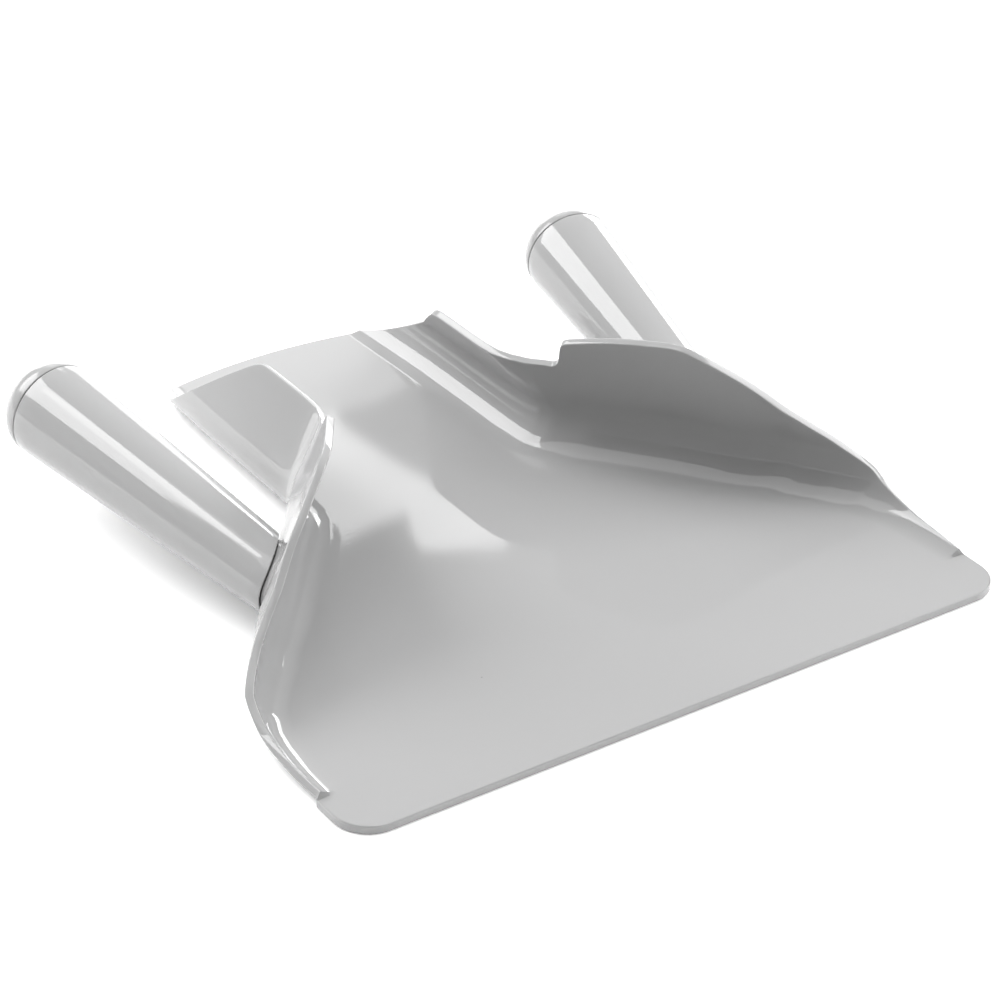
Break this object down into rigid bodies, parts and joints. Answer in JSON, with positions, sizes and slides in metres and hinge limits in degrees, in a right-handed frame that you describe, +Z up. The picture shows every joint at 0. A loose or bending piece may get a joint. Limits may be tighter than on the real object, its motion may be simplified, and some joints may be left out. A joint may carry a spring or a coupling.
{
  "type": "chip scoop",
  "caption": "Shallow moulded scoop with a wide flat pan that narrows into an open-ended chute for filling bags, and a round handle on each side pointing backward.",
  "frame": {"origin": "centre of the bounding box at the resting plane", "axes": "+X to the right, +Y from the front lip to the chute mouth, +Z up"},
  "size_m": [0.2308, 0.249, 0.0542],
  "materials": {
    "body_plastic": "glossy moulded, faint flow and scuff marks",
    "handle_plastic": "glossy moulded",
    "cap_plastic": "glossy moulded, slightly softer"
  },
  "bodies": {
    "root": {"scoop_body": "body_plastic", "handle_left": "handle_plastic", "handle_right": "handle_plastic", "end_cap_left": "cap_plastic", "end_cap_right": "cap_plastic"}
  },
  "joints": []
}
